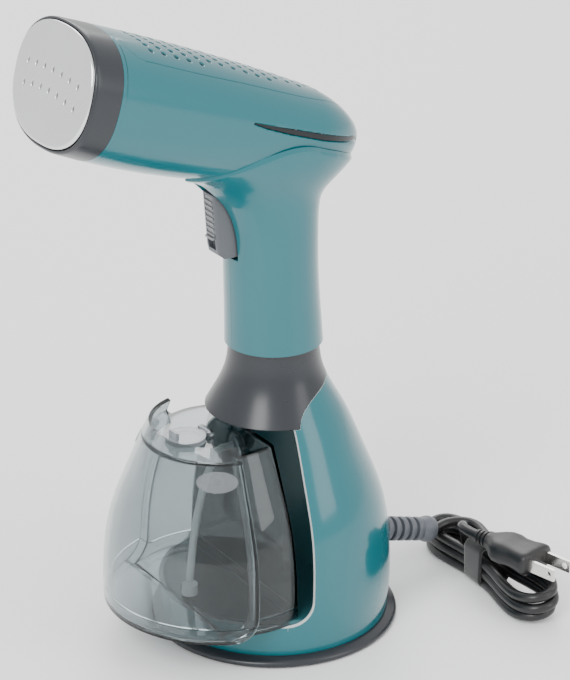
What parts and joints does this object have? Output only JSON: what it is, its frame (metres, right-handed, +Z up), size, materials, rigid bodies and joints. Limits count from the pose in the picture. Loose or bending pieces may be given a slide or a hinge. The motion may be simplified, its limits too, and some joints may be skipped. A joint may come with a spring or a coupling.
{
  "type": "garment steamer",
  "caption": "Handheld garment steamer standing on its base: steam head with vented cover, round handle with trigger, clear tank drawn forward, tied mains cord.",
  "frame": {"origin": "centre of the round base, on the surface that it stands on", "axes": "+Z up, -Y towards the steam plate, X across, with the plane X = 0 the plane of symmetry of everything but the cord"},
  "size_m": [0.153, 0.2502, 0.3299],
  "materials": {
    "teal_gloss": "gloss moulded ABS, teal",
    "teal_dark": "moulded plastic, darker teal",
    "grey_satin": "satin moulded plastic, slate grey",
    "grey_light": "satin moulded plastic, mid grey",
    "clear_tank": "clear moulded plastic",
    "clear_grey": "smoked clear plastic",
    "steel_polished": "polished stainless steel",
    "aluminium_cast": "die-cast aluminium",
    "brass_fitting": "turned brass",
    "steel_plated": "zinc-plated steel",
    "silicone": "silicone rubber, off-white",
    "rubber_black": "black rubber",
    "cord_black": "black flexible PVC",
    "relief_grey": "grey flexible PVC",
    "tie_black": "black hook-and-loop tape",
    "lens_dark": "smoked lens",
    "lamp_clear": "clear lamp",
    "board_green": "circuit board",
    "works_black": "black glass-filled nylon",
    "works_white": "white nylon"
  },
  "bodies": {
    "housing": {"base_ring": "grey_satin", "base_cover": "grey_satin", "base_screws": "steel_plated", "foot_pad": "rubber_black", "body_shell": "teal_gloss", "skirt_collar": "grey_satin", "bay_liner": "teal_dark", "casing_right": "teal_gloss", "casing_left": "teal_gloss", "vent_cover": "teal_gloss", "status_lens_right": "lens_dark", "status_lens_left": "lens_dark", "indicator_lamps": "lamp_clear", "nozzle_collar": "grey_satin", "steam_plate": "steel_polished", "plate_gasket": "silicone", "heater_block": "aluminium_cast", "heating_element": "steel_plated", "chamber_cover": "aluminium_cast", "heater_carrier": "works_black", "thermostat": "steel_plated", "thermal_fuse": "works_white", "steam_inlet": "brass_fitting", "trigger_pin": "steel_plated", "trigger_spring": "steel_plated", "trigger_bracket": "works_black", "microswitch": "works_black", "docking_socket": "works_white", "pump": "works_white", "pump_cradle": "works_black", "suction_hose": "silicone", "pressure_hose": "silicone", "terminal_block": "works_white", "wiring_loom": "rubber_black", "control_board": "board_green", "strain_relief": "relief_grey", "cord_clamp": "works_black", "cord_hank": "cord_black", "cord_tie": "tie_black", "cord_tube": "cord_black", "plug_body": "rubber_black", "plug_blades": "brass_fitting"},
    "tank": {"tank_shell": "clear_tank", "tank_base": "clear_tank", "outlet_port": "works_white", "outlet_valve": "silicone", "pickup_tube": "silicone", "pickup_strainer": "works_white", "cap_pin": "steel_plated", "cap_ears": "clear_tank", "button_spring_right": "steel_plated", "button_spring_left": "steel_plated"},
    "cap": {"filler_cap": "clear_grey"},
    "button_right": {"release_button_right": "clear_grey"},
    "button_left": {"release_button_left": "clear_grey"},
    "trigger": {"trigger": "grey_light"},
    "lock": {"steam_lock": "grey_light"},
    "plunger": {"switch_plunger": "works_white"}
  },
  "joints": [
    {"name": "tank_slide", "type": "slide", "parent": "housing", "child": "tank", "axis": [0, -1, 0], "range_m": [-0.0315, 0.06]},
    {"name": "filler_cap_hinge", "type": "hinge", "parent": "tank", "child": "cap", "pos_m": [0, -0.0391, 0.1095], "axis": [-1, 0, 0], "range_deg": [0, 95]},
    {"name": "release_right_press", "type": "slide", "parent": "tank", "child": "button_right", "axis": [-0.772, 0.5013, -0.3907], "range_m": [0, 0.002], "stiffness_N_per_m": 900, "deforming": ["button_spring_right"]},
    {"name": "release_left_press", "type": "slide", "parent": "tank", "child": "button_left", "axis": [0.772, 0.5013, -0.3907], "range_m": [0, 0.002], "stiffness_N_per_m": 900, "deforming": ["button_spring_left"]},
    {"name": "trigger_pull", "type": "hinge", "parent": "housing", "child": "trigger", "pos_m": [0, -0.025, 0.229], "axis": [1, 0, 0], "range_deg": [0, 7], "stiffness_Nm_per_rad": 0.6},
    {"name": "steam_lock_slide", "type": "slide", "parent": "trigger", "child": "lock", "axis": [0, 0.0787, -0.9969], "range_m": [0, 0.005]},
    {"name": "switch_plunger_slide", "type": "slide", "parent": "housing", "child": "plunger", "axis": [0, 1, 0], "range_m": [0, 0.0024]}
  ],
  "couplings": [
    {"joint": "switch_plunger_slide", "follows": "trigger_pull", "m_per_rad": 0.0189}
  ]
}
